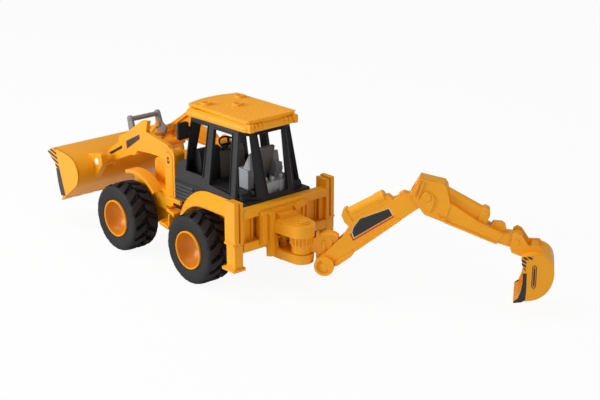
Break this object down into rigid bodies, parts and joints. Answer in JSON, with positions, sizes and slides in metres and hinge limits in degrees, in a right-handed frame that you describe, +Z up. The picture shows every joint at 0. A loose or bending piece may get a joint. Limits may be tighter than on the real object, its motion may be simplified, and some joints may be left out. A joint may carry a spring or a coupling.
{
  "type": "toy backhoe loader",
  "caption": "Toy backhoe loader with a front loading bucket, open cab, rubber-look wheels, side-shifting digging arm and sliding stabilisers.",
  "frame": {"origin": "centre of the footprint, on the floor", "axes": "+X the way the machine drives, +Y its left side, +Z up; the digging arm stands swung to the right"},
  "size_m": [0.4683, 0.1999, 0.1468],
  "materials": {
    "yellow_plastic": "satin moulded ABS, golden yellow",
    "orange_plastic": "satin moulded ABS, orange yellow",
    "black_plastic": "matte moulded ABS, near black",
    "grey_plastic": "matte moulded ABS, mid grey",
    "white_plastic": "natural nylon",
    "steel": "plain drawn wire",
    "tyre": "moulded soft PVC, charcoal"
  },
  "bodies": {
    "machine": {"chassis": "yellow_plastic", "chassis_screws": "steel", "front_body": "yellow_plastic", "bonnet": "yellow_plastic", "tower_left": "yellow_plastic", "tower_right": "yellow_plastic", "loader_pivot_pins": "black_plastic", "rear_body": "yellow_plastic", "side_panel_left": "black_plastic", "side_panel_right": "black_plastic", "footstep_left": "yellow_plastic", "footstep_right": "yellow_plastic", "cab_frame": "black_plastic", "cab_roof": "yellow_plastic", "cab_floor": "grey_plastic", "seat": "grey_plastic", "steering_wheel": "grey_plastic", "lever_console": "grey_plastic", "mirror_left": "black_plastic", "mirror_right": "black_plastic", "rear_frame": "yellow_plastic", "stabiliser_sleeve_left": "yellow_plastic", "stabiliser_sleeve_right": "yellow_plastic"},
    "rear_wheels": {"rear_axle": "steel", "hub_rear_left": "orange_plastic", "hub_rear_right": "orange_plastic", "tyre_rear_left": "tyre", "tyre_rear_right": "tyre"},
    "front_wheels": {"front_axle": "steel", "hub_front_left": "orange_plastic", "hub_front_right": "orange_plastic", "tyre_front_left": "tyre", "tyre_front_right": "tyre"},
    "loader": {"loader_arm_left": "yellow_plastic", "loader_arm_right": "yellow_plastic", "loader_cross_tube": "grey_plastic", "tip_handle_shaft": "yellow_plastic", "bucket_pivot_pins": "white_plastic"},
    "tip_handle": {"tip_handle": "grey_plastic", "handle_link_pins": "yellow_plastic"},
    "tip_links": {"tip_links": "grey_plastic"},
    "loader_bucket": {"loader_bucket": "yellow_plastic", "loader_cutting_edge": "yellow_plastic", "bracket_link_pins": "yellow_plastic"},
    "carriage": {"carriage": "yellow_plastic", "swing_pin": "yellow_plastic"},
    "swing_post": {"swing_post": "yellow_plastic", "boom_foot_pin": "yellow_plastic"},
    "boom": {"boom": "yellow_plastic", "boom_cylinder": "yellow_plastic", "elbow_pin": "yellow_plastic"},
    "dipper": {"dipper": "yellow_plastic", "dipper_cylinder": "yellow_plastic", "dig_bucket_pin": "yellow_plastic"},
    "dig_bucket": {"dig_bucket": "yellow_plastic", "dig_bucket_teeth": "yellow_plastic"},
    "stabiliser_left": {"stabiliser_leg_left": "yellow_plastic"},
    "stabiliser_right": {"stabiliser_leg_right": "yellow_plastic"}
  },
  "joints": [
    {"name": "rear_wheel_spin", "type": "hinge", "parent": "machine", "child": "rear_wheels", "pos_m": [0.0177, 0.0378, 0.031], "axis": [0, 1, 0], "continuous": true},
    {"name": "front_wheel_spin", "type": "hinge", "parent": "machine", "child": "front_wheels", "pos_m": [0.125, 0.0378, 0.031], "axis": [0, 1, 0], "continuous": true},
    {"name": "loader_lift", "type": "hinge", "parent": "machine", "child": "loader", "pos_m": [0.0825, 0.0378, 0.0909], "axis": [0, -1, 0], "range_deg": [-10.5, 45]},
    {"name": "bucket_tip", "type": "hinge", "parent": "loader", "child": "loader_bucket", "pos_m": [0.1802, 0.0378, 0.0676], "axis": [0, -1, 0], "range_deg": [-20, 45]},
    {"name": "handle_tip", "type": "hinge", "parent": "loader", "child": "tip_handle", "pos_m": [0.1562, 0.0378, 0.0895], "axis": [0, -1, 0], "range_deg": [-20, 45]},
    {"name": "link_tip", "type": "hinge", "parent": "tip_handle", "child": "tip_links", "pos_m": [0.1597, 0.0378, 0.0983], "axis": [0, -1, 0], "range_deg": [-45, 20]},
    {"name": "carriage_slide", "type": "slide", "parent": "machine", "child": "carriage", "axis": [0, 1, 0], "range_m": [-0.0205, 0.0105]},
    {"name": "arm_swing", "type": "hinge", "parent": "carriage", "child": "swing_post", "pos_m": [-0.0632, 0.0428, 0.05], "axis": [0, 0, 1], "range_deg": [-129, 51]},
    {"name": "boom_lift", "type": "hinge", "parent": "swing_post", "child": "boom", "pos_m": [-0.07882, 0.03015, 0.0297], "axis": [-0.6293, 0.7771, 0], "range_deg": [-35, 32]},
    {"name": "dipper_fold", "type": "hinge", "parent": "boom", "child": "dipper", "pos_m": [-0.14357, -0.02228, 0.09491], "axis": [-0.6293, 0.7771, 0], "range_deg": [-55, 28]},
    {"name": "dig_bucket_curl", "type": "hinge", "parent": "dipper", "child": "dig_bucket", "pos_m": [-0.20024, -0.06817, 0.06106], "axis": [-0.6293, 0.7771, 0], "range_deg": [-50, 60]},
    {"name": "stabiliser_left_slide", "type": "slide", "parent": "machine", "child": "stabiliser_left", "axis": [0, 0, -1], "range_m": [0, 0.024]},
    {"name": "stabiliser_right_slide", "type": "slide", "parent": "machine", "child": "stabiliser_right", "axis": [0, 0, -1], "range_m": [0, 0.024]}
  ],
  "couplings": [
    {"joint": "handle_tip", "follows": "bucket_tip", "ratio": 1},
    {"joint": "link_tip", "follows": "bucket_tip", "ratio": -1}
  ]
}
